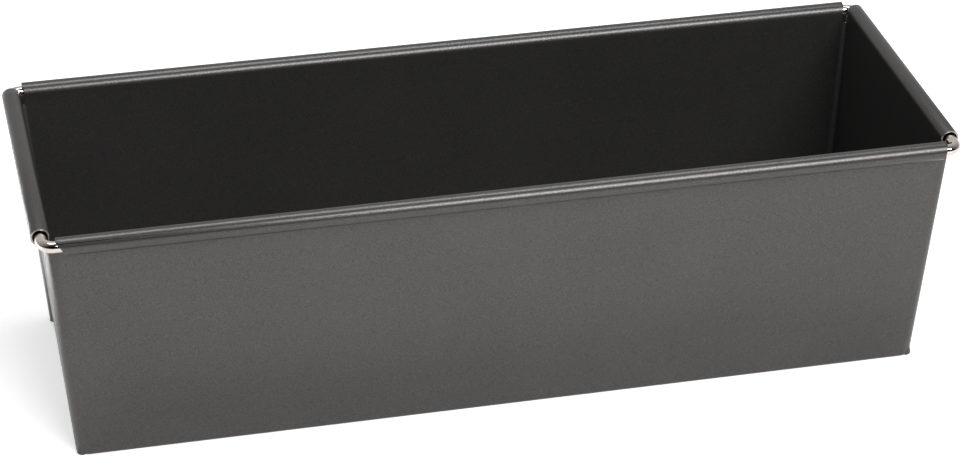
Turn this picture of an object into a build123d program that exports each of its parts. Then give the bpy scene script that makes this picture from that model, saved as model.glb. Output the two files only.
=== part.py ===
"""Open loaf pan for a square sandwich loaf, folded from one coated steel sheet round a rim wire.

Millimetres, +Z up, +X along the length. The origin is the bottom centre, on the surface it stands on.
"""
import os
from math import acos, atan, atan2, cos, degrees, hypot, radians, sin, sqrt, tan

from build123d import *

# Overall sizes, measured over the rolled rim.
overall_length = 300.0
overall_width = 112.0
overall_height = 85.5

# Base sizes. The length is taken over the folded ends, the width over the side walls.
base_length = 281.0
base_width = 90.0

# The sheet and its bends, with outside radii.
sheet_thickness = 0.6
base_bend_radius = 1.5
corner_radius = 4.2

# The corner folds: the space left inside each hairpin, and the gap where two folds meet mid-end.
fold_gap = 0.4
fold_meeting_gap = 1.2
fold_rim_clearance = 0.3

# The bunched sheet at each base corner, where both folds start.
gather_height = 3.6
gather_bulge = 0.6
gather_bevel_share = 0.26

# The rim wire and the sheet rolled round it.
wire_diameter = 3.8
wire_clearance = 0.5
wire_bend_radius = 4.2
wire_butt_gap = 0.4
curl_lip_gap = 0.5

# Where the rolled edges end, counted along the wire from the start of its corner bend.
# The wire is bare from there round the corner.
side_curl_onto_bend = 0.4
side_curl_slant = 1.6
end_curl_before_bend_front = 2.8
end_curl_onto_bend_back = 1.0

# How far below the wire's middle the side walls end, between the rolled edges.
corner_edge_drop = 0.9

# How far cutting shapes run past what they cut.
cut_overrun = 2.0

curl_radius = wire_diameter / 2 + wire_clearance + sheet_thickness
curl_inner_radius = curl_radius - sheet_thickness
curl_axis_height = overall_height - curl_radius
rim_bottom = overall_height - 2 * curl_radius
fold_top = rim_bottom - fold_rim_clearance
layer_pitch = sheet_thickness + fold_gap
stack_depth = 2 * layer_pitch
side_axis_reach = overall_width / 2 - curl_radius
end_axis_reach = overall_length / 2 - curl_radius
side_bend_start = end_axis_reach - wire_bend_radius
end_bend_start = side_axis_reach - wire_bend_radius
corner_edge_height = curl_axis_height - corner_edge_drop


def wall_draft(axis_reach, base_reach, face_inset):
    """Angle from upright of a wall whose face starts at base_reach and runs into the rolled rim."""
    run = axis_reach - base_reach
    return acos(face_inset / hypot(run, curl_axis_height)) - atan2(curl_axis_height, run)


side_draft = wall_draft(side_axis_reach, base_width / 2, curl_inner_radius)
end_draft = wall_draft(end_axis_reach, base_length / 2, curl_inner_radius - stack_depth)


def side_reach(height, depth=0):
    """Distance from the middle to a side wall's face, depth inside its outer face."""
    return base_width / 2 - depth / cos(side_draft) + height * tan(side_draft)


def end_reach(height, depth=0):
    """Distance from the middle to an end's face, depth inside the outermost folded layer."""
    return base_length / 2 - depth / cos(end_draft) + height * tan(end_draft)


# The outermost layer of the +X end, seen square on: x across the pan, y up the slope, z outwards.
end_plane = Plane(
    origin=(base_length / 2, 0, 0),
    x_dir=(0, 1, 0),
    z_dir=(cos(end_draft), 0, -sin(end_draft)),
)

# Slopes of the upright corner line on the end wall and on the side wall.
corner_slope_on_end = cos(end_draft) * tan(side_draft)
corner_slope_on_side = cos(side_draft) * tan(end_draft)
corner_turn = acos(sin(end_draft) * sin(side_draft))
corner_tangent = corner_radius * tan(corner_turn / 2) * sqrt(1 + corner_slope_on_end**2)

# The spare corner of the flat sheet is halved by its diagonal crease.
spare_angle = radians(90) - atan(corner_slope_on_end) - atan(corner_slope_on_side)
crease_lean = spare_angle / 2 - atan(corner_slope_on_end)
fold_top_on_end = fold_top / cos(end_draft)


def fold_line(slope_height):
    """Across position, on the end plane, where the corner bend ends and the flat fold begins."""
    return base_width / 2 + slope_height * corner_slope_on_end - corner_tangent


crease_peak = fold_line(0) / tan(crease_lean)


def prism(plane, points, reach):
    """Straight prism of a polygon on a plane, reach to both sides of it."""
    return extrude(plane * Polygon(*points, align=None), amount=reach, both=True)


def tub(depth):
    """Solid tapered tub with rounded corners, all its faces depth inside the pan's outer faces."""
    ends = [(end_reach(z, depth), z) for z in (depth, rim_bottom)]
    sides = [(side_reach(z, depth), z) for z in (depth, rim_bottom)]
    side_view = prism(Plane.XZ, ends + [(-x, z) for x, z in reversed(ends)], overall_width)
    end_view = prism(Plane.YZ, sides + [(-y, z) for y, z in reversed(sides)], overall_length)
    block = side_view & end_view
    block = fillet(block.edges().group_by(Axis.Z)[1], corner_radius - depth)
    return fillet(block.faces().sort_by(Axis.Z)[0].edges(), base_bend_radius - depth)


def crease_triangle():
    """Area below the two diagonal creases on the end plane, where only the end wall itself shows."""
    foot = fold_line(0)
    below = [(-foot, -cut_overrun), (foot, -cut_overrun)]
    return Polygon(*below, (foot, 0), (0, crease_peak), (-foot, 0), align=None)


def end_window():
    """Cutter for the part of the outermost layer that the folds leave open at the +X end."""
    slot_height = fold_top_on_end + cut_overrun
    middle_slot = Rectangle(fold_meeting_gap, slot_height, align=(Align.CENTER, Align.MIN))
    outline = end_plane.offset(cut_overrun) * (crease_triangle() + middle_slot)
    return extrude(outline, amount=-(2 * cut_overrun + base_bend_radius))


def between_fold_lines():
    """Space at the +X end between the slanting lines where its corner bends begin."""
    top = rim_bottom / cos(end_draft) + cut_overrun
    edge = [(fold_line(-cut_overrun), -cut_overrun), (fold_line(top), top)]
    outline = Polygon(*edge, *[(-across, up) for across, up in reversed(edge)], align=None)
    depth = stack_depth + base_bend_radius + cut_overrun
    return extrude(end_plane.offset(cut_overrun) * outline, amount=-depth - cut_overrun)


def base_end_cutter():
    """Cutter for the base beyond the end wall's own bend, between the corners of the +X end."""
    start = base_bend_start()
    room = Pos(start, 0, -cut_overrun) * Box(
        base_length / 2 + cut_overrun - start,
        base_width,
        base_bend_radius + cut_overrun,
        align=(Align.MIN, Align.CENTER, Align.MIN),
    )
    return between_fold_lines() & room


def base_bend_start():
    """Distance from the middle to where the base turns up into an end wall."""
    return end_reach(base_bend_radius, stack_depth) - base_bend_radius / cos(end_draft)


def corner_rim_cutter():
    """Cutter that keeps the folds and corner bends of the +X end below its rolled edge."""
    start = corner_tab_half_length()
    return Pos(start, 0, fold_top) * Box(
        overall_length / 2 - start,
        overall_width,
        rim_bottom - fold_top + cut_overrun,
        align=(Align.MIN, Align.CENTER, Align.MIN),
    )


def side_curl_half_length(height):
    """Half the length of a rolled side edge, whose ends slant inwards from the top down."""
    share_down = (overall_height - height) / (overall_height - rim_bottom)
    return side_bend_start + side_curl_onto_bend - side_curl_slant * share_down


def corner_tab_half_length():
    """Half the length of the side walls' upper edge, just clear of the end walls' inner faces."""
    return end_reach(fold_top, stack_depth + sheet_thickness) - fold_rim_clearance


def outer_skin():
    """Base, side walls, corner bends and the outermost fold layers, as one thin shell."""
    skin = tub(0) - tub(sheet_thickness)
    window = end_window() + base_end_cutter()
    return skin - window - mirror(window, about=Plane.YZ)


def layer_plate(outline, depth):
    """Flat layer of sheet on the +X end, its outer face depth inside the outermost one."""
    return extrude(end_plane.offset(-depth - sheet_thickness) * outline, amount=sheet_thickness)


def hairpin(start, end, depth, outward):
    """Half tube that turns the sheet back on itself between two layers.

    It runs from start to end on the end plane, about an axis depth inside the outermost face,
    and bulges to the given side of that line (+1 is right of the way from start to end).
    """
    run = Vector(end[0] - start[0], end[1] - start[1])
    aside = Vector(run.Y, -run.X) * outward
    origin = end_plane.from_local_coords((start[0], start[1], -depth))
    tip = end_plane.from_local_coords((end[0], end[1], -depth))
    aside_tip = end_plane.from_local_coords((start[0] + aside.X, start[1] + aside.Y, -depth))
    section_plane = Plane(origin=origin, x_dir=aside_tip - origin, z_dir=tip - origin)
    outside = sheet_thickness + fold_gap / 2
    ring = Circle(outside) - Circle(fold_gap / 2)
    half_ring = ring & Rectangle(outside, 2 * outside, align=(Align.MIN, Align.CENTER))
    return extrude(section_plane * half_ring, amount=run.length)


def folded_ear():
    """Inner layer of one fold, its diagonal crease and its hairpin to the end wall, at +X +Y."""
    inner_edge = fold_meeting_gap / 2
    top = fold_top_on_end
    fold_edge = [(fold_line(0), 0), (fold_line(top), top)]
    whole = Polygon((inner_edge, 0), *fold_edge, (inner_edge, top), align=None)
    middle_layer = layer_plate(whole - crease_triangle(), layer_pitch)
    crease = hairpin((fold_line(0), 0), (0, crease_peak), layer_pitch - fold_gap / 2, -1)
    upright = hairpin(*fold_edge, stack_depth - fold_gap / 2, 1)
    foot = sheet_thickness / 2
    room = Pos(0, inner_edge, foot) * Box(overall_length, overall_width, fold_top - foot, align=Align.MIN)
    return (middle_layer + crease + upright) & room


def corner_gather():
    """Blunt bunch of sheet at the +X +Y base corner, where the creases start."""
    inner = end_reach(0, stack_depth + sheet_thickness / 2)
    outer = base_length / 2 + gather_bulge
    radius = (outer - inner) / 2
    knuckle = Cylinder(radius, gather_height, align=(Align.CENTER, Align.CENTER, Align.MIN))
    bevel = min(2 * radius, gather_height) * gather_bevel_share
    knuckle = chamfer(knuckle.edges().filter_by(GeomType.CIRCLE), bevel)
    return Pos((inner + outer) / 2, fold_line(0), 0) * knuckle


def end_wall_section():
    """Section of an end wall and its bend from the base, in its outward and up directions."""
    bend_x = base_bend_start()
    lean = degrees(end_draft)
    inner_radius = base_bend_radius - sheet_thickness
    outer_arc = CenterArc((bend_x, base_bend_radius), base_bend_radius, -90, 90 - lean)
    inner_arc = CenterArc((bend_x, base_bend_radius), inner_radius, -90, 90 - lean)
    outer_top = (end_reach(rim_bottom, stack_depth), rim_bottom)
    inner_top = (end_reach(rim_bottom, stack_depth + sheet_thickness), rim_bottom)
    outline = [
        outer_arc,
        Line(outer_arc @ 1, outer_top),
        Line(outer_top, inner_top),
        Line(inner_top, inner_arc @ 1),
        inner_arc,
        Line(inner_arc @ 0, outer_arc @ 0),
    ]
    return make_face(outline)


def end_wall():
    """End wall at +X below its rolled edge, cut to the slanting lines of its hairpins."""
    wall = extrude(Plane.XZ * end_wall_section(), amount=overall_width / 2, both=True)
    return wall & between_fold_lines()


def rim_section(axis_reach, draft):
    """Top of a wall with its edge rolled outwards, in its outward and up directions."""
    lip_angle = acos(curl_inner_radius / curl_radius) + curl_lip_gap / curl_inner_radius
    start = 180 - degrees(draft)
    sweep = -(360 - degrees(lip_angle))
    centre = (axis_reach, curl_axis_height)
    outer_arc = CenterArc(centre, curl_radius, start, sweep)
    inner_arc = CenterArc(centre, curl_inner_radius, start, sweep)
    inner_drop = (outer_arc @ 0).Y - rim_bottom
    outer_drop = (inner_arc @ 0).Y - rim_bottom
    inner_foot = ((outer_arc @ 0).X - inner_drop * tan(draft), rim_bottom)
    outer_foot = ((inner_arc @ 0).X - outer_drop * tan(draft), rim_bottom)
    outline = [
        outer_arc,
        Line(outer_arc @ 1, inner_arc @ 1),
        inner_arc,
        Line(inner_arc @ 0, outer_foot),
        Line(outer_foot, inner_foot),
        Line(inner_foot, outer_arc @ 0),
    ]
    return make_face(outline)


def side_rim():
    """Rolled edge of the +Y side wall, with slanting ends, and the wall's own edge beyond them."""
    section = Plane.YZ * rim_section(side_axis_reach, side_draft)
    rim = extrude(section, amount=overall_length / 2, both=True)
    low = side_curl_half_length(rim_bottom)
    high = side_curl_half_length(overall_height)
    room = prism(
        Plane.XZ,
        [(-low, rim_bottom), (low, rim_bottom), (high, overall_height), (-high, overall_height)],
        overall_width,
    )
    inner = [(side_reach(z, sheet_thickness), z) for z in (rim_bottom, corner_edge_height)]
    outer = [(side_reach(z), z) for z in (corner_edge_height, rim_bottom)]
    return (rim & room) + prism(Plane.YZ, inner + outer, corner_tab_half_length())


def end_rim():
    """Rolled edge of the +X end wall, open at both ends where the wire comes out."""
    front = end_curl_before_bend_front - end_bend_start
    back = end_bend_start + end_curl_onto_bend_back
    section = Plane.XZ.offset(-front) * rim_section(end_axis_reach, end_draft)
    return extrude(section, amount=-(back - front))


def on_both(shape, plane):
    """The shape together with its mirror image."""
    return shape + mirror(shape, about=plane)


def folded_sheet():
    """The whole sheet: base, four walls, four corner folds and four rolled edges, in one piece."""
    folds = outer_skin() + on_both(on_both(folded_ear(), Plane.XZ), Plane.YZ)
    folds -= corner_rim_cutter()
    folds -= mirror(corner_rim_cutter(), about=Plane.YZ)
    sheet = folds + on_both(end_wall(), Plane.YZ)
    sheet += on_both(side_rim(), Plane.XZ)
    sheet += on_both(end_rim(), Plane.YZ)
    sheet += on_both(on_both(corner_gather(), Plane.XZ), Plane.YZ)
    return sheet


def rim_wire():
    """Round wire bent into one loop, its ends butting inside the rolled edge of the back wall."""
    corners = [
        (wire_butt_gap / 2, side_axis_reach),
        (end_axis_reach, side_axis_reach),
        (end_axis_reach, -side_axis_reach),
        (-end_axis_reach, -side_axis_reach),
        (-end_axis_reach, side_axis_reach),
        (-wire_butt_gap / 2, side_axis_reach),
    ]
    path = Pos(0, 0, curl_axis_height) * FilletPolyline(*corners, radius=wire_bend_radius)
    section = Plane(origin=path @ 0, z_dir=path % 0) * Circle(wire_diameter / 2)
    return sweep(section, path=path)


def main():
    os.makedirs("parts", exist_ok=True)
    pieces = {"folded_sheet": folded_sheet(), "rim_wire": rim_wire()}
    for name, shape in pieces.items():
        export_step(shape, f"parts/{name}.step")
        print(name, len(shape.solids()), "solid", round(shape.volume), "mm3")
    print("side draft", round(degrees(side_draft), 2), "end draft", round(degrees(end_draft), 2))
    print("crease from the corner line", round(degrees(spare_angle / 2), 1), "degrees")


main()
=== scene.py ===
# %% [markdown]
# # An open loaf pan, folded from one sheet
# This pan is one sheet of thin steel, coated dark grey before it is folded, and one bright wire. The
# sheet turns up at four bends, its spare corners are folded flat against the ends, and its top edges
# are rolled round the wire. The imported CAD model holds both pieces. It is loaded first, because
# everything here is built round it, in metres, with +Z up and the pan standing at the origin.

# %% Load the CAD model
from math import acos, atan, atan2, cos, degrees, hypot, pi, radians, sin, tan

import bmesh
import bpy
from mathutils import Matrix, Vector


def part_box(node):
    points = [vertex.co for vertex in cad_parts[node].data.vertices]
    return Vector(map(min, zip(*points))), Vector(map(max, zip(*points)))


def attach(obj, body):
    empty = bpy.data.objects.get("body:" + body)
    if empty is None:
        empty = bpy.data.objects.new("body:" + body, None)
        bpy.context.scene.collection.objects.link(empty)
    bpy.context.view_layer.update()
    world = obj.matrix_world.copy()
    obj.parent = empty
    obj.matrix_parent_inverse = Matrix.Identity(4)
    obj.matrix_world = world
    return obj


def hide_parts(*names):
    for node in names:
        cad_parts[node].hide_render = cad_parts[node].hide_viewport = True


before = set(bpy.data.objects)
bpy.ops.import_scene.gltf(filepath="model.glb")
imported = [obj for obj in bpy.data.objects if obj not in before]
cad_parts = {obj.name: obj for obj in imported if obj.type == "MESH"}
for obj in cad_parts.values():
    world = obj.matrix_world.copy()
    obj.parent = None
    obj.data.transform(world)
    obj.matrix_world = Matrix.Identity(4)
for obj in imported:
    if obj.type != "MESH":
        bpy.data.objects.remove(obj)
bpy.context.view_layer.update()
mm = 0.001

# %% [markdown]
# ## Sizes
# A sheet metal worker needs few numbers: the overall size, the base, the gauge of the sheet and the
# radius of each bend. The rest follows. The overall size and the place of the wire are read from the
# CAD model, so the new pieces can't drift away from it. The others are the real sizes, in millimetres.

# %% Sizes of the sheet, the bends and the rolls
sheet_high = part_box("folded_sheet")[1]
wire_low, wire_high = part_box("rim_wire")
wire_radius = (wire_high.z - wire_low.z) / 2
wire_height = (wire_high.z + wire_low.z) / 2
side_wire_y = wire_high.y - wire_radius
end_wire_x = wire_high.x - wire_radius

gauge = 0.6 * mm
base_length = 281 * mm
base_width = 90 * mm
base_bend_radius = 1.5 * mm
corner_radius = 4.2 * mm
wire_bend_radius = 4.2 * mm
fold_gap = 0.4 * mm  # air between two folded layers
rim_clearance = 0.3 * mm  # between the top of the folds and the roll
lip_gap = 0.5 * mm  # between the lip of a roll and the wall

half = gauge / 2
roll_radius = sheet_high.z - wire_height
roll_inside = roll_radius - gauge
roll_middle = roll_radius - half
roll_bottom = wire_height - roll_radius
fold_top = roll_bottom - rim_clearance
layer_pitch = gauge + fold_gap
stack_depth = 2 * layer_pitch
print("roll radius, mm:", round(roll_radius / mm, 2), "wire radius, mm:", round(wire_radius / mm, 2))

# %% [markdown]
# ## Lean of the walls
# Each wall leans outwards so that pans nest and a loaf comes out. A wall has to run from the edge of
# the base to where its roll begins, tangent to the roll, and that fixes the angle. The spare corner of
# the flat sheet is the angle left over between two walls, and its crease halves it.


# %% Angles
def wall_lean(wire_reach, base_reach, face_inset):
    """Angle from upright of a wall whose outer face starts at base_reach and runs into its roll."""
    run = wire_reach - base_reach
    return acos(face_inset / hypot(run, wire_height)) - atan2(wire_height, run)


side_lean = wall_lean(side_wire_y, base_width / 2, roll_inside)
end_lean = wall_lean(end_wire_x, base_length / 2, roll_inside - stack_depth)
corner_turn = acos(sin(end_lean) * sin(side_lean))
slope_on_end = cos(end_lean) * tan(side_lean)
slope_on_side = cos(side_lean) * tan(end_lean)
spare_angle = radians(90) - atan(slope_on_end) - atan(slope_on_side)
crease_lean = spare_angle / 2 - atan(slope_on_end)
corner_tangent = corner_radius * tan(corner_turn / 2) * hypot(1, slope_on_end)
print("side lean", round(degrees(side_lean), 2), "end lean", round(degrees(end_lean), 2))

# %% [markdown]
# ## Places on the walls
# Every piece of the sheet is placed from the same few questions: how far out is a side wall at this
# height, how far out is an end, and where does the rounded corner end? Each question is a small
# function, so that the answer is written once. Depth counts inwards from the outermost face.


# %% Places on the walls
def side_y(height, depth):
    """Distance from the middle to a side wall's face, depth inside its outer face."""
    return base_width / 2 - depth / cos(side_lean) + height * tan(side_lean)


def end_x(height, depth):
    """Distance from the middle to an end's face, depth inside the outermost folded layer."""
    return base_length / 2 - depth / cos(end_lean) + height * tan(end_lean)


def fold_y(up):
    """Where, across the pan, the rounded corner ends and the flat fold begins, up the end's slope."""
    return base_width / 2 + up * slope_on_end - corner_tangent


end_out = Vector((cos(end_lean), 0, -sin(end_lean)))
end_rise = Vector((sin(end_lean), 0, cos(end_lean)))


def on_end(across, up, depth):
    """Point on the +X end: across the pan, up the slope, and depth inside the outermost face."""
    return Vector((base_length / 2, across, 0)) + up * end_rise - depth * end_out


foot_y = fold_y(0)
crease_foot = on_end(foot_y, 0, 0)
crease_peak = on_end(0, foot_y / tan(crease_lean), 0)
print("the creases of one end would meet at height, mm:", round(crease_peak.z / mm, 1))

# %% [markdown]
# ## Picking faces and edges in code
# By hand you click on what the next tool should act on. A script has no mouse, so one helper picks by a
# rule on place or direction instead. It clears the old choice first, because Blender's tools act on all
# that is selected.

# %% Picking and cutting helpers
hair = 0.002 * mm  # two places that are closer than this count as one
far = 1000 * mm  # beyond every piece of the pan
anywhere = (-far, far)


def pick(kind, wanted):
    """In edit mode, selects only the faces or edges for which wanted(it) is true."""
    bpy.ops.mesh.select_mode(type=kind)
    bpy.ops.mesh.select_all(action="DESELECT")
    shape = bmesh.from_edit_mesh(bpy.context.object.data)
    shape.normal_update()
    chosen = [it for it in (shape.faces if kind == "FACE" else shape.edges) if wanted(it)]
    for it in chosen:
        it.select_set(True)
    bmesh.update_edit_mesh(bpy.context.object.data)
    return len(chosen)


def within(it, x=anywhere, y=anywhere, z=anywhere):
    """True if all the corners of a face or edge lie in these ranges, give or take a hair."""
    return all(
        low - hair <= value <= high + hair
        for corner in it.verts
        for value, (low, high) in zip(corner.co, (x, y, z))
    )


def cut(place, normal, drop=None):
    """Cuts the selected faces with a plane. drop="ahead" deletes what lies where normal points."""
    bpy.ops.mesh.bisect(
        plane_co=place,
        plane_no=normal,
        clear_outer=drop == "ahead",
        clear_inner=drop == "behind",
        threshold=hair / 10,
    )


def begin(name):
    """The object just added gets its name and its place in its mesh, and opens for editing."""
    piece = bpy.context.object
    piece.name = name
    bpy.ops.object.transform_apply(location=True, rotation=True, scale=True)
    bpy.ops.object.mode_set(mode="EDIT")
    return piece


def face_count():
    """Number of faces of the piece that is open for editing."""
    return len(bmesh.from_edit_mesh(bpy.context.object.data).faces)


# %% [markdown]
# ## The sheet, as a tub
# Real sheet is bent, so its bends are round and its thickness is the same everywhere. The way to get
# both is to model only the middle of the sheet, with no thickness, and to thicken it at the very end.
# The pan is nearly the same four times over, so a quarter is made and mirrored. It starts as a block
# the size of the base, whose top is widened for the lean of the walls. Bevels with the bend radii round
# the corner and the foot.

# %% Block, tapered and rounded
corner_steps = 10
bend_steps = 5

bpy.ops.object.select_all(action="DESELECT")
block_size = (2 * end_x(half, half), 2 * side_y(half, half), fold_top - half)
bpy.ops.mesh.primitive_cube_add(size=1, location=(0, 0, (fold_top + half) / 2), scale=block_size)
pan = begin("folded_sheet_coated")

pick("FACE", lambda face: within(face, z=(fold_top, fold_top)))
widening = (end_x(fold_top, half) / end_x(half, half), side_y(fold_top, half) / side_y(half, half), 1)
bpy.ops.transform.resize(value=widening, center_override=(0, 0, fold_top))

pick("EDGE", lambda edge: abs(edge.verts[0].co.z - edge.verts[1].co.z) > fold_top / 2)
corner_reach = (corner_radius - half) * tan(corner_turn / 2)
bpy.ops.mesh.bevel(offset=corner_reach, segments=corner_steps, affect="EDGES", clamp_overlap=False)

pick("EDGE", lambda edge: within(edge, z=(half, half)))
foot_reach = (base_bend_radius - half) * tan((radians(90) - side_lean) / 2)
bpy.ops.mesh.bevel(offset=foot_reach, segments=bend_steps, affect="EDGES", clamp_overlap=False)

pick("FACE", lambda face: within(face, z=(fold_top, fold_top)))
bpy.ops.mesh.delete(type="ONLY_FACE")
bpy.ops.mesh.select_all(action="SELECT")
cut((0, 0, 0), (1, 0, 0), drop="behind")
bpy.ops.mesh.select_all(action="SELECT")
cut((0, 0, 0), (0, 1, 0), drop="behind")
print("quarter tub:", face_count(), "faces")

# %% [markdown]
# ## Outer fold and base edge
# The flat part of the end is the outermost layer of the fold. Only the area above the diagonal crease
# is sheet there, and the folds from left and right don't quite meet in the middle. Below, the base goes
# on into the corner, but between the folds it turns up earlier, into the end wall behind them.

# %% Trim the outer layer and the base
meeting_gap = 1.2 * mm
parallel = 0.9999  # cosine between two directions that count as parallel

turn_up_x = end_x(base_bend_radius, stack_depth) - base_bend_radius / cos(end_lean)
crease_run = (crease_peak - crease_foot).normalized()
below_crease = crease_run.cross(end_out)
if below_crease.z > 0:
    below_crease.negate()


def is_flat_end(face):
    """True for the flat part of the end, whichever way it looks."""
    return abs(face.normal.dot(end_out)) > parallel


pick("FACE", is_flat_end)
cut(crease_foot, below_crease, drop="ahead")
pick("FACE", is_flat_end)
cut((0, meeting_gap / 2, 0), (0, 1, 0), drop="behind")

pick("FACE", lambda face: within(face, x=(turn_up_x, far), y=(0, foot_y + half), z=(0, fold_top / 2)))
bpy.ops.mesh.delete(type="FACE")
pick("FACE", lambda face: within(face, z=(half, half)))
cut((turn_up_x, 0, 0), (1, 0, 0))
pick("FACE", lambda face: within(face, x=(turn_up_x, far), z=(half, half)))
cut((0, foot_y, 0), (0, 1, 0))
pick("FACE", lambda face: within(face, x=(turn_up_x, far), y=(0, foot_y), z=(half, half)))
bpy.ops.mesh.delete(type="FACE")
print("trimmed:", face_count(), "faces")

# %% [markdown]
# ## Stretching and folding an edge
# Two moves make the rest of the sheet. Stretching extrudes an edge straight on. Folding turns it back
# on itself: spin is the right tool for that, because it does what the folding press does. It swings an
# edge round an axis and leaves sheet behind it.

# %% Folding helpers
fold_steps = 8


def in_layer(it, depth):
    """True if a face or edge lies flat in the end's layer of this depth."""
    plane = on_end(0, 0, depth + half)
    return all(abs((corner.co - plane).dot(end_out)) < hair for corner in it.verts)


def stretch_edge(move):
    """Extrudes the selected edges by this vector."""
    bpy.ops.mesh.extrude_edges_move(TRANSFORM_OT_translate={"value": tuple(move)})


def fold_over(bulge):
    """Turns the selected edge back outwards, one layer further out, bulging this way."""
    shape = bmesh.from_edit_mesh(bpy.context.object.data)
    edge = next(it for it in shape.edges if it.select)
    middle = (edge.verts[0].co + edge.verts[1].co) / 2
    run = (edge.verts[1].co - edge.verts[0].co).normalized()
    side = (bulge - bulge.dot(run) * run).normalized()
    center = middle + layer_pitch / 2 * end_out
    bpy.ops.mesh.spin(steps=fold_steps, angle=pi, center=center, axis=end_out.cross(side))


# %% [markdown]
# ## End wall
# On the real pan the end wall stands behind two more layers. The base turns up into it with the same
# bend as everywhere at the foot. The wall is stretched up in one go and then widened at the top,
# because the walls beside it lean.

# %% Turn up the end wall
pick("EDGE", lambda edge: within(edge, x=(turn_up_x, turn_up_x), y=(0, foot_y), z=(half, half)))
bpy.ops.mesh.spin(
    steps=bend_steps,
    angle=radians(90) - end_lean,
    center=(turn_up_x, 0, base_bend_radius),
    axis=(0, 1, 0),
)
bend_top = base_bend_radius - (base_bend_radius - half) * sin(end_lean)
stretch_edge((fold_top - bend_top) / cos(end_lean) * end_rise)
fold_top_y = fold_y(fold_top / cos(end_lean))
bpy.ops.transform.resize(value=(1, fold_top_y / foot_y, 1), center_override=(0, 0, 0))
print("with end wall:", face_count(), "faces")

# %% [markdown]
# ## Corner fold
# From the upright edge of the end wall the sheet turns back on itself, runs inwards as the middle layer
# as far as the diagonal crease, and turns back again into the outer layer, which goes on round the
# corner into the side wall. The middle layer is made wide enough first: its edge is stretched by
# nothing and then squeezed flat at the meeting gap. A cut along the crease takes off what is too much.


# %% Fold the corner
def is_upright_edge(edge):
    """True for the tall edge of the end wall, beside the corner."""
    tall = abs(edge.verts[0].co.z - edge.verts[1].co.z) > fold_top / 2
    return tall and within(edge, y=(foot_y, far))


def on_crease(edge):
    """True for an edge that lies along the diagonal crease."""
    return all(abs((corner.co - crease_foot).dot(below_crease)) < hair for corner in edge.verts)


def is_crease_bend(face):
    """True for the round faces that join the middle layer to the outer one."""
    middle_layer = on_end(0, 0, layer_pitch + half)
    outside = all((corner.co - middle_layer).dot(end_out) > -hair for corner in face.verts)
    return outside and not in_layer(face, 0) and not in_layer(face, layer_pitch)


pick("EDGE", lambda edge: is_upright_edge(edge) and in_layer(edge, stack_depth))
fold_over(Vector((0, 1, 0)))
stretch_edge((0, 0, 0))
bpy.ops.transform.resize(value=(1, 0, 1), center_override=(0, meeting_gap / 2, 0))
pick("FACE", lambda face: in_layer(face, layer_pitch))
cut(crease_foot, below_crease, drop="ahead")

pick("EDGE", lambda edge: on_crease(edge) and in_layer(edge, layer_pitch))
fold_over(below_crease)
pick("FACE", is_crease_bend)
cut((0, meeting_gap / 2, 0), (0, 1, 0), drop="behind")
pick("EDGE", lambda edge: on_crease(edge) and in_layer(edge, 0))
bpy.ops.mesh.remove_doubles(threshold=half)
print("folded:", face_count(), "faces")

# %% [markdown]
# ## Side wall beside the wire
# The side wall goes on above the folds to where its roll begins. At the corner the wire leaves the roll,
# and beside it a small tab of the side wall goes on, as far as the inner face of the end wall, and
# closes the corner. The tab is the end of the wall stretched sideways, and its top is pushed out to
# lean as the end does.

# %% Raise the side wall and its tab
tab_rise = 0.1 * mm  # from the middle of the wire up to the top of the tab
tab_gap = 0.03 * mm  # between the tab and the end wall

side_rise = Vector((0, sin(side_lean), cos(side_lean)))
side_top_y = side_y(fold_top, half)
tab_top = wire_height + tab_rise
tab_end = end_x(roll_bottom, stack_depth + gauge) - tab_gap
tab_lean = Vector(((tab_top - roll_bottom) * tan(end_lean), 0, 0))
straight_end = end_x(fold_top, half) - corner_reach

pick("EDGE", lambda edge: within(edge, x=(0, straight_end), y=(side_top_y, far), z=(fold_top, fold_top)))
stretch_edge((tab_top - fold_top) / cos(side_lean) * side_rise)
pick("EDGE", lambda edge: within(edge, x=(straight_end - half, far), y=(side_top_y, far)))
stretch_edge((tab_end - straight_end, 0, 0))
pick("EDGE", lambda edge: within(edge, x=(straight_end - half, far), z=(tab_top, far)))
bpy.ops.transform.translate(value=tab_lean)
print("side wall raised:", face_count(), "faces")

# %% [markdown]
# ## Side rolls
# The top edges are rolled outwards round the wire in a rolling machine, for about 310 degrees, and the
# lip stops just short of the wall. A spin that starts in line with the wall gives exactly that curve.
# A side roll ends on a slant, where the wire comes out to go round the corner.

# %% Roll the side edge
roll_steps = 30
roll_past_bend = 0.4 * mm  # from the start of the wire's bend to the end of the roll, at its top
side_slant = 1.6 * mm  # how much shorter the roll is at its bottom

roll_turn = radians(360) - acos(roll_inside / roll_radius) - lip_gap / roll_inside
slant_top = end_wire_x - wire_bend_radius + roll_past_bend


def in_side_roll(face, back):
    """True if a face is part of the roll at the back (back = 1) or at the front (back = -1)."""
    offsets = [(corner.co.y - back * side_wire_y, corner.co.z - wire_height) for corner in face.verts]
    return all(hypot(*offset) < roll_radius for offset in offsets)


def trim_side_roll(right, back, slant):
    """Cuts one end of a side roll off, which gets shorter by slant from its top to its bottom."""
    place = Vector((right * slant_top, 0, sheet_high.z))
    outwards = Vector((right * 2 * roll_radius, 0, -slant))

    def is_past_slant(face):
        return in_side_roll(face, back) and (face.calc_center_median() - place).dot(outwards) > 0

    pick("FACE", lambda face: in_side_roll(face, back))
    cut(place, outwards)
    pick("FACE", is_past_slant)
    bpy.ops.mesh.delete(type="FACE")


pick("EDGE", lambda edge: within(edge, z=(tab_top, far)))
roll_start = wire_height + roll_middle * sin(side_lean)
stretch_edge((roll_start - tab_top) / cos(side_lean) * side_rise)
bpy.ops.mesh.spin(
    steps=roll_steps,
    angle=roll_turn,
    center=(0, side_wire_y, wire_height),
    axis=(1, 0, 0),
)
trim_side_roll(right=1, back=1, slant=side_slant)
print("side rolled:", face_count(), "faces")

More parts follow.
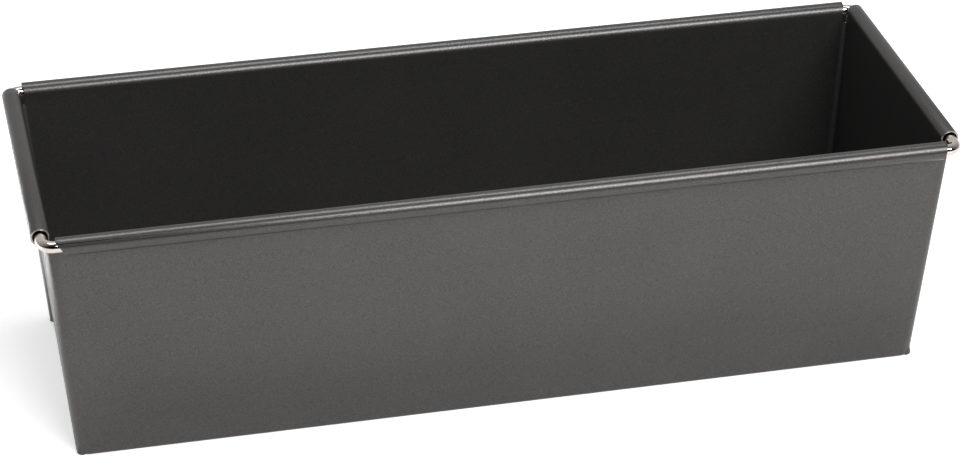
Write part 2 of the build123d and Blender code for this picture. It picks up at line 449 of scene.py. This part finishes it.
# %% [markdown]
# ## End rolls
# The end wall is rolled in the same way, and its roll ends square. At the back it reaches a little past
# the place where the wire starts to bend, so the roll and the end wall under it are stretched sideways
# from the upright edge of the fold as far as that.

# %% Roll the end's edge
back_overhang = 1.7 * mm  # of the roll, past the start of the wire's bend
end_bend_start = side_wire_y - wire_bend_radius
back_roll_end = end_bend_start + back_overhang

pick("EDGE", lambda edge: in_layer(edge, stack_depth) and within(edge, z=(fold_top, fold_top)))
stretch_edge((roll_bottom - fold_top) / cos(end_lean) * end_rise)
roll_start = wire_height + roll_middle * sin(end_lean)
stretch_edge((roll_start - roll_bottom) / cos(end_lean) * end_rise)
bpy.ops.mesh.spin(
    steps=roll_steps,
    angle=roll_turn,
    center=(end_wire_x, 0, wire_height),
    axis=(0, -1, 0),
)
riser_x = end_x(fold_top, stack_depth + half)
pick("EDGE", lambda edge: within(edge, x=(riser_x, far), y=(fold_top_y, fold_top_y), z=(fold_top, far)))
stretch_edge((0, back_roll_end - fold_top_y, 0))
print("end rolled:", face_count(), "faces")

# %% [markdown]
# ## The other three quarters
# Mirror makes the back left, front right and front left quarters. The photographed pan isn't quite the
# same at all corners, so the front is then trimmed: its side roll ends on a longer slant at the left,
# and both end rolls stop earlier. That is easier than modelling each corner by itself.

# %% Mirror and trim
front_left_slant = 3.8 * mm
front_shortfall = 2.8 * mm  # of an end roll, before the start of the wire's bend
front_roll_end = end_bend_start - front_shortfall

bpy.ops.object.mode_set(mode="OBJECT")
bpy.ops.object.modifier_add(type="MIRROR")
mirror = pan.modifiers[-1]
mirror.use_axis = (True, True, False)
mirror.merge_threshold = hair
bpy.ops.object.modifier_apply(modifier=mirror.name)
bpy.ops.object.mode_set(mode="EDIT")


def is_front_end_roll(face):
    """True for the front half of the roll at either end, and of the wall just under it."""
    in_reach = within(face, y=(-back_roll_end, 0), z=(fold_top, far))
    return in_reach and all(abs(corner.co.x) > riser_x - hair for corner in face.verts)


trim_side_roll(right=-1, back=-1, slant=front_left_slant)
pick("FACE", is_front_end_roll)
cut((0, -front_roll_end, 0), (0, 1, 0))
pick("FACE", lambda face: is_front_end_roll(face) and within(face, y=(-far, -front_roll_end)))
bpy.ops.mesh.delete(type="FACE")
bpy.ops.mesh.select_all(action="SELECT")
bpy.ops.mesh.delete_loose()
bpy.ops.mesh.select_all(action="SELECT")
bpy.ops.mesh.normals_make_consistent(inside=False)
bpy.ops.object.mode_set(mode="OBJECT")
print("whole sheet:", len(pan.data.polygons), "faces")

# %% [markdown]
# ## Thickness and cut edges
# Solidify gives the middle surface its real thickness, half to each side, and closes the cut edges. A
# sheared edge is a little round and catches a thin line of light. A small bevel on every sharp edge
# makes that line.

# %% Thicken and soften
edge_rounding = 0.14 * mm
sharp_angle = radians(50)

bpy.ops.object.modifier_add(type="SOLIDIFY")
solid = pan.modifiers[-1]
solid.thickness = gauge
solid.offset = 0
solid.use_even_offset = True
solid.use_quality_normals = True
bpy.ops.object.modifier_apply(modifier=solid.name)

bpy.ops.object.modifier_add(type="BEVEL")
rounding = pan.modifiers[-1]
rounding.width = edge_rounding
rounding.segments = 2
rounding.limit_method = "ANGLE"
rounding.angle_limit = sharp_angle
rounding.use_clamp_overlap = False
bpy.ops.object.modifier_apply(modifier=rounding.name)
print("thick sheet:", len(pan.data.polygons), "faces")

# %% [markdown]
# ## Gathers at the base corners
# Where the base, two walls and the crease meet, the press bunches the sheet into a small blunt knuckle.
# Its tiny folds would be a mess to model one by one, so it is a short pleated post on the diagonal of
# the corner, rounded at its foot, that tapers away into the corner above.

# %% One gather
gather_height = 5.0 * mm
gather_radius = 1.9 * mm
gather_inset_x = 1.85 * mm
gather_inset_y = 2.3 * mm
gather_foot_radius = 0.8 * mm
gather_x = base_length / 2 - gather_inset_x
gather_y = base_width / 2 - gather_inset_y
gather_sides = 24
sides_per_pleat = 3
pleat_share = 0.94
tip_share = 0.15

bpy.ops.object.select_all(action="DESELECT")
bpy.ops.mesh.primitive_cylinder_add(
    vertices=gather_sides,
    radius=gather_radius,
    depth=gather_height,
    location=(gather_x, gather_y, gather_height / 2),
)
gather = begin("corner_gathers")
pick("EDGE", lambda edge: within(edge, z=(0, 0)))
bpy.ops.mesh.bevel(offset=gather_foot_radius, segments=4, affect="EDGES")


def is_pleat(edge):
    """True for the upright line of the post that is the bottom of a pleat."""
    middle = (edge.verts[0].co + edge.verts[1].co) / 2
    side = round(atan2(middle.y - gather_y, middle.x - gather_x) / (2 * pi / gather_sides))
    upright = abs(edge.verts[0].co.z - edge.verts[1].co.z) > gather_height / 4
    return upright and side % sides_per_pleat == 0


pick("EDGE", is_pleat)
bpy.ops.transform.resize(
    value=(pleat_share, pleat_share, 1), center_override=(gather_x, gather_y, 0)
)
pick("EDGE", lambda edge: within(edge, z=(gather_height, gather_height)))
tip_inset = corner_radius * (1 - cos(radians(45))) + half
gather_tip = (end_x(gather_height, 0) - tip_inset, side_y(gather_height, 0) - tip_inset, gather_height)
bpy.ops.transform.resize(value=(tip_share, tip_share, 1), center_override=gather_tip)
print("one gather:", face_count(), "faces")

# %% [markdown]
# ## Second lobe, and all four corners
# The knuckle has a smaller lobe beside it, at the foot of the crease, where the folded layers start. It
# is the same post again, duplicated and made smaller. Both are mirrored to all four corners and joined
# to the sheet, because they are the same piece of steel.

# %% Second lobe, mirror and join
lobe_share = 0.6
lobe_reach = 0.1 * mm
lobe_inset = 0.2 * mm
lobe_x = crease_foot.x + lobe_reach - lobe_share * gather_radius
lobe_y = crease_foot.y - lobe_inset
smooth_angle = radians(35)

bpy.ops.mesh.select_all(action="SELECT")
bpy.ops.mesh.duplicate()
bpy.ops.transform.resize(
    value=(lobe_share, lobe_share, lobe_share), center_override=(gather_x, gather_y, 0)
)
bpy.ops.transform.translate(value=(lobe_x - gather_x, lobe_y - gather_y, 0))
bpy.ops.object.mode_set(mode="OBJECT")
bpy.ops.object.modifier_add(type="MIRROR")
gather.modifiers[-1].use_axis = (True, True, False)
bpy.ops.object.modifier_apply(modifier=gather.modifiers[-1].name)
pan.select_set(True)
bpy.context.view_layer.objects.active = pan
bpy.ops.object.join()
bpy.ops.object.shade_smooth_by_angle(angle=smooth_angle)
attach(pan, "root")
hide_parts("folded_sheet")
print("sheet with gathers:", len(pan.data.polygons), "faces")

# %% [markdown]
# ## The rim wire
# The wire is cut, bent into a loop with four tight corners, and the sheet is rolled round it. Its two
# ends only butt together, hidden in the back roll. A circle of its thickness is pushed along the
# straights by extrude and swung round the corners by spin, as a wire bender does. Three bends are a
# little tighter than the one at the front left, as on the photographed pan, so each bend has a radius
# of its own. The thickness is the real one, because the flat facets of the CAD wire make it measure a
# little less.

# %% Bend the wire
wire_thickness = 3.8 * mm
butt_gap = 0.4 * mm
tight_bend_radius = 3.2 * mm
wire_sides = 32
wire_bend_steps = 16
bends = (  # right 1 or left -1, back 1 or front -1, radius
    (1, 1, tight_bend_radius),
    (1, -1, tight_bend_radius),
    (-1, -1, wire_bend_radius),
    (-1, 1, tight_bend_radius),
)

bpy.ops.object.select_all(action="DESELECT")
bpy.ops.mesh.primitive_circle_add(
    vertices=wire_sides,
    radius=wire_thickness / 2,
    location=(butt_gap / 2, side_wire_y, wire_height),
    rotation=(0, radians(90), 0),
)
wire = begin("rim_wire_plated")

wire_at = Vector((butt_gap / 2, side_wire_y, 0))
for right, back, radius in bends:
    turn_at = Vector((right * (end_wire_x - radius), back * (side_wire_y - radius), 0))
    from_side = Vector((0, back * radius, 0))
    from_end = Vector((right * radius, 0, 0))
    before, after = (from_side, from_end) if right == back else (from_end, from_side)
    push = turn_at + before - wire_at
    bpy.ops.mesh.extrude_region_move(TRANSFORM_OT_translate={"value": push})
    bpy.ops.mesh.spin(steps=wire_bend_steps, angle=radians(90), center=turn_at, axis=(0, 0, 1))
    wire_at = turn_at + after
last_push = Vector((-butt_gap / 2, side_wire_y, 0)) - wire_at
bpy.ops.mesh.extrude_region_move(TRANSFORM_OT_translate={"value": last_push})
print("wire bent:", face_count(), "faces")

# %% [markdown]
# ## Ends of the wire
# A pushed circle leaves an open tube. Each end gets a flat face, as the cutter leaves it, and then all
# faces are turned to point outwards, because spin can turn a shape inside out.

# %% Close and smooth the wire
for end in (-butt_gap / 2, butt_gap / 2):
    pick("EDGE", lambda edge: within(edge, x=(end, end), y=(0, far)))
    bpy.ops.mesh.edge_face_add()
bpy.ops.mesh.select_all(action="SELECT")
bpy.ops.mesh.normals_make_consistent(inside=False)
bpy.ops.object.mode_set(mode="OBJECT")
bpy.ops.object.shade_smooth_by_angle(angle=smooth_angle)
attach(wire, "root")
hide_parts("rim_wire")
print("wire:", len(wire.data.polygons), "faces, box", [round(side / mm, 2) for side in wire.dimensions])

# %% [markdown]
# ## Colours and nodes
# Colours are written as hex, as in any picture editor. Blender computes in linear light, so one
# function turns hex into linear. A second one adds a node to a material with its settings and its
# links, so that each material below reads as a list of what it is made of.


# %% Colour and node helpers
def linear(hex_colour):
    """Linear RGBA of an sRGB hex colour such as #4a4a49."""
    channels = [int(hex_colour[i : i + 2], 16) / 255 for i in (1, 3, 5)]
    return (*[c / 12.92 if c <= 0.04045 else ((c + 0.055) / 1.055) ** 2.4 for c in channels], 1)


def add_node(tree, kind, links=None, values=None, **settings):
    """Adds a node. links maps its sockets to other nodes' outputs, and values to plain values."""
    node = tree.nodes.new(kind)
    for name, value in settings.items():
        setattr(node, name, value)
    for socket, value in (values or {}).items():
        node.inputs[socket].default_value = value
    for socket, source in (links or {}).items():
        tree.links.new(source, node.inputs[socket])
    return node


def new_material(name):
    """An empty node material and its tree."""
    material = bpy.data.materials.new(name)
    material.use_nodes = True
    material.node_tree.nodes.clear()
    return material, material.node_tree


# %% [markdown]
# ## Coated steel
# Carbon steel sheet with a baked, dark grey non-stick coat that has fine metal flake in it. The sprayed
# and baked coat is satin, not glossy, so it shows lamps and floor as broad soft glows and hardly any
# colour of its own: the inside of the pan looks almost black, because it only mirrors dark walls. The
# flake gives a fine speckle, and the spray a faint orange peel. The flake is drawn at 0.45 mm, coarser
# than it is, so that it shows at all.

# %% Coated steel
flake_size = 0.45 * mm
peel_size = 1.6 * mm
cloud_size = 35 * mm
relief_height = 0.02 * mm
cloud_share = 0.15  # of the clouds in the speckle
flake_share = 0.15  # of the flake in the relief

coat, tree = new_material("satin_nonstick_coat_with_flake")
place = add_node(tree, "ShaderNodeTexCoord").outputs["Object"]
flake = add_node(
    tree,
    "ShaderNodeTexNoise",
    {"Vector": place},
    {"Scale": 1 / flake_size, "Detail": 2.0, "Roughness": 0.7},
).outputs["Fac"]
cloud = add_node(
    tree, "ShaderNodeTexNoise", {"Vector": place}, {"Scale": 1 / cloud_size, "Detail": 3.0}
).outputs["Fac"]
peel = add_node(
    tree, "ShaderNodeTexNoise", {"Vector": place}, {"Scale": 1 / peel_size, "Detail": 1.0}
).outputs["Fac"]
speckle = add_node(
    tree, "ShaderNodeMath", {0: cloud, 2: flake}, {1: cloud_share}, operation="MULTIPLY_ADD"
).outputs["Value"]
shade = add_node(tree, "ShaderNodeValToRGB", {"Fac": speckle})
shade.color_ramp.elements[0].position = 0.35
shade.color_ramp.elements[0].color = linear("#454443")
shade.color_ramp.elements[1].position = 0.80
shade.color_ramp.elements[1].color = linear("#5e5c5b")
polish = add_node(
    tree,
    "ShaderNodeMapRange",
    {"Value": cloud},
    {"From Min": 0.3, "From Max": 0.7, "To Min": 0.33, "To Max": 0.35},
).outputs["Result"]
relief = add_node(
    tree, "ShaderNodeMath", {0: flake, 2: peel}, {1: flake_share}, operation="MULTIPLY_ADD"
).outputs["Value"]
bump = add_node(
    tree, "ShaderNodeBump", {"Height": relief}, {"Strength": 0.35, "Distance": relief_height}
).outputs["Normal"]
surface = add_node(
    tree,
    "ShaderNodeBsdfPrincipled",
    {"Base Color": shade.outputs["Color"], "Roughness": polish, "Normal": bump},
    {"Metallic": 0.75},
).outputs["BSDF"]
add_node(tree, "ShaderNodeOutputMaterial", {"Surface": surface})
pan.data.materials.append(coat)
print("coat:", len(tree.nodes), "nodes")

# %% [markdown]
# ## Cut edges
# The sheet is coated before it is cut, so its sheared edges show bare steel. On the pan this is a thin
# light line round the mouths of the rolls, and nowhere else in sight. Shearing leaves fine marks across
# the edge. They are too small for the eye to see which way they run, so a fine noise stands for them.

# %% Sheared steel edge
shear_mark_size = 0.12 * mm
shear_mark_depth = 0.01 * mm

cut_edge, tree = new_material("sheared_steel_edge")
place = add_node(tree, "ShaderNodeTexCoord").outputs["Object"]
shear_marks = add_node(
    tree, "ShaderNodeTexNoise", {"Vector": place}, {"Scale": 1 / shear_mark_size, "Detail": 1.0}
).outputs["Fac"]
tone = add_node(tree, "ShaderNodeValToRGB", {"Fac": shear_marks})
tone.color_ramp.elements[0].position = 0.35
tone.color_ramp.elements[0].color = linear("#98948f")
tone.color_ramp.elements[1].position = 0.65
tone.color_ramp.elements[1].color = linear("#b6b1ab")
bump = add_node(
    tree, "ShaderNodeBump", {"Height": shear_marks}, {"Strength": 0.3, "Distance": shear_mark_depth}
).outputs["Normal"]
surface = add_node(
    tree,
    "ShaderNodeBsdfPrincipled",
    {"Base Color": tone.outputs["Color"], "Normal": bump},
    {"Metallic": 1.0, "Roughness": 0.4},
).outputs["BSDF"]
add_node(tree, "ShaderNodeOutputMaterial", {"Surface": surface})
pan.data.materials.append(cut_edge)
print("cut edge:", len(tree.nodes), "nodes")

# %% [markdown]
# ## Bare steel at the mouths of the rolls
# A piece can carry several materials, and each face says which one it shows. The faces at the ends of
# the rolls, which look along the wire, are picked by place and direction and get the bare steel.

# %% Give the mouths their bare edge
square_on = 0.9  # cosine between a face's direction and an axis that it looks along


def is_mouth(face):
    """True for the cut faces at the ends of the rolls, beside the wire."""
    middle = face.calc_center_median()
    across, along = abs(middle.y) - side_wire_y, abs(middle.x) - end_wire_x
    rise = middle.z - wire_height
    faces_along = abs(face.normal.x) > square_on and hypot(across, rise) < roll_radius
    faces_across = abs(face.normal.y) > square_on and hypot(along, rise) < roll_radius
    return (faces_along and abs(middle.x) < slant_top + half) or (faces_across and along > -roll_radius)


bpy.ops.object.select_all(action="DESELECT")
bpy.context.view_layer.objects.active = pan
bpy.ops.object.mode_set(mode="EDIT")
print("mouth faces:", pick("FACE", is_mouth))
pan.active_material_index = 1
bpy.ops.object.material_slot_assign()
bpy.ops.object.mode_set(mode="OBJECT")

# %% [markdown]
# ## Plated wire
# Steel wire, drawn through a die and then nickel plated. The bright plating shows small crisp lights and
# near-black gaps between them, with a warm tint. Drawing leaves faint marks under it, drawn here as an
# even noise, coarser than they are, because lines would have to turn with the wire at each bend.

# %% Bright plated wire
draw_mark_size = 0.5 * mm

plating, tree = new_material("bright_plated_drawn_wire")
place = add_node(tree, "ShaderNodeTexCoord").outputs["Object"]
draw_marks = add_node(
    tree, "ShaderNodeTexNoise", {"Vector": place}, {"Scale": 1 / draw_mark_size, "Detail": 3.0}
).outputs["Fac"]
tone = add_node(tree, "ShaderNodeValToRGB", {"Fac": draw_marks})
tone.color_ramp.elements[0].position = 0.3
tone.color_ramp.elements[0].color = linear("#ccc4be")
tone.color_ramp.elements[1].position = 0.6
tone.color_ramp.elements[1].color = linear("#dbd2cc")
sheen = add_node(
    tree, "ShaderNodeMapRange", {"Value": draw_marks}, {"To Min": 0.05, "To Max": 0.13}
).outputs["Result"]
surface = add_node(
    tree,
    "ShaderNodeBsdfPrincipled",
    {"Base Color": tone.outputs["Color"], "Roughness": sheen},
    {"Metallic": 1.0},
).outputs["BSDF"]
add_node(tree, "ShaderNodeOutputMaterial", {"Surface": surface})
wire.data.materials.append(plating)
print("plating:", len(tree.nodes), "nodes")

# %% [markdown]
# ## Floor
# The pan stands on white paper. The paper takes the pan's shadow from the lamps like any matt surface.
# What the camera sees of it is lifted with Light Path, so that it reaches white without more light on
# the pan. In the metal's reflections the lift is a little over half as strong.

# %% White floor
floor_size = 4000 * mm
floor_lift = 0.58
mirrored_share = 0.6  # of the lift in the metal's reflections

bpy.ops.object.select_all(action="DESELECT")
bpy.ops.mesh.primitive_plane_add(size=floor_size, location=(0, 0, 0))
floor = bpy.context.object
floor.name = "floor"
paper, tree = new_material("white_paper_sweep")
path = add_node(tree, "ShaderNodeLightPath").outputs
seen_direct = add_node(
    tree, "ShaderNodeMath", {0: path["Is Camera Ray"], 1: path["Is Transmission Ray"]}, operation="MAXIMUM"
).outputs["Value"]
mirrored = add_node(
    tree, "ShaderNodeMath", {0: path["Is Glossy Ray"]}, {1: mirrored_share}, operation="MULTIPLY"
).outputs["Value"]
seen = add_node(
    tree, "ShaderNodeMath", {0: seen_direct, 1: mirrored}, operation="MAXIMUM"
).outputs["Value"]
matt = add_node(tree, "ShaderNodeBsdfDiffuse", values={"Color": linear("#ededed")}).outputs["BSDF"]
lift = add_node(
    tree, "ShaderNodeMath", {0: seen}, {1: floor_lift}, operation="MULTIPLY"
).outputs["Value"]
glow = add_node(tree, "ShaderNodeEmission", {"Strength": lift}).outputs["Emission"]
both = add_node(tree, "ShaderNodeAddShader", {0: matt, 1: glow}).outputs["Shader"]
add_node(tree, "ShaderNodeOutputMaterial", {"Surface": both})
floor.data.materials.append(paper)
print("floor:", len(tree.nodes), "nodes")

# %% [markdown]
# ## World
# Behind the floor the camera sees plain white. The metal mirrors a studio that is bright at the back
# and gets darker towards the front, which gives the walls and the rolls their shading. Matt surfaces
# only get a weak even fill, so that the shadow stays.

# %% World
level_beside = 0.35  # what the metal mirrors from the left, the right and above
level_change = 0.55  # added to it at the back, and taken off in front
fill_level = 0.24  # what matt surfaces get

world = bpy.data.worlds.new("white_studio")
bpy.context.scene.world = world
world.use_nodes = True
tree = world.node_tree
tree.nodes.clear()
path = add_node(tree, "ShaderNodeLightPath").outputs
direction = add_node(tree, "ShaderNodeTexCoord").outputs["Generated"]
split = add_node(tree, "ShaderNodeSeparateXYZ", {"Vector": direction}).outputs
reflected = add_node(
    tree,
    "ShaderNodeMath",
    {0: split["Y"]},
    {1: level_change, 2: level_beside},
    operation="MULTIPLY_ADD",
    use_clamp=True,
).outputs["Value"]
fill = add_node(
    tree,
    "ShaderNodeMix",
    {"Factor": path["Is Glossy Ray"], "B": reflected},
    {"A": fill_level},
    data_type="FLOAT",
).outputs["Result"]
seen_level = add_node(
    tree, "ShaderNodeMath", {0: fill, 1: path["Is Camera Ray"]}, operation="MAXIMUM"
).outputs["Value"]
sky = add_node(tree, "ShaderNodeBackground", {"Strength": seen_level}).outputs["Background"]
add_node(tree, "ShaderNodeOutputWorld", {"Surface": sky})
print("world:", len(tree.nodes), "nodes")

# %% [markdown]
# ## Lamps
# The bright lines along the rolled rim tell where the lamps were: a long soft box almost straight
# overhead and a second one in front, above the camera and to its right. A third lamp, small and low
# beyond the left end, shines straight down on the floor, and the floor passes its light on to that end
# of the pan.


# %% Soft boxes
def soft_box(name, place, size, power):
    """A rectangular lamp aimed at the middle of the pan, sized and placed in metres."""
    lamp = bpy.data.lights.new(name, "AREA")
    lamp.shape = "RECTANGLE"
    lamp.size, lamp.size_y = size
    lamp.energy = power
    box = bpy.data.objects.new(name, lamp)
    bpy.context.scene.collection.objects.link(box)
    aim = Vector((0, 0, wire_height / 2)) - Vector(place)
    box.rotation_euler = aim.to_track_quat("-Z", "Y").to_euler()
    box.location = place
    return box


overhead_distance = 1.1
overhead_angle = radians(79)
overhead_at = (0.0, overhead_distance * cos(overhead_angle), overhead_distance * sin(overhead_angle))
soft_box("overhead_box", overhead_at, size=(0.9, 0.28), power=5.3)

front_distance = 1.3
front_angle = radians(44)
front_shift = 0.35
front_at = (front_shift, -front_distance * cos(front_angle), front_distance * sin(front_angle))
soft_box("front_box", front_at, size=(0.95, 0.40), power=15)

sweep_at = (-0.40, 0.10, 0.3)
sweep_light = soft_box("sweep_light", sweep_at, size=(0.2, 0.2), power=3.8)
sweep_light.rotation_euler = (0, 0, 0)
sweep_light.data.spread = radians(40)
print("lamp powers, watts:", {lamp.name: round(lamp.energy, 1) for lamp in bpy.data.lights})

# %% [markdown]
# ## Camera
# The photograph was taken with a long lens from the front left, looking down by about thirty degrees.
# The place and the lens below put the rim and the base edge of the model on those of the photograph.

# %% Camera
camera_at = (-0.19852, -0.88830, 0.56197)
look_down = 0.51956  # radians, as the next two are
look_right = 0.22136
tilt = 0.00105

camera_data = bpy.data.cameras.new("camera")
camera_data.sensor_width = 36
camera_data.lens = 117.75
camera = bpy.data.objects.new("camera", camera_data)
bpy.context.scene.collection.objects.link(camera)
camera.matrix_world = (
    Matrix.Translation(camera_at)
    @ Matrix.Rotation(-look_right, 4, "Z")
    @ Matrix.Rotation(radians(90) - look_down, 4, "X")
    @ Matrix.Rotation(tilt, 4, "Z")
)
bpy.context.scene.camera = camera
bpy.context.scene.view_settings.view_transform = "Standard"
print("camera looks down by", round(degrees(look_down), 1), "degrees")

# %% [markdown]
# ## Finish
# The view layer is updated once more, so that Blender brings every object's place up to date.
# The visual model has to stay inside the CAD model's box.

# %% Finish
bpy.context.view_layer.update()
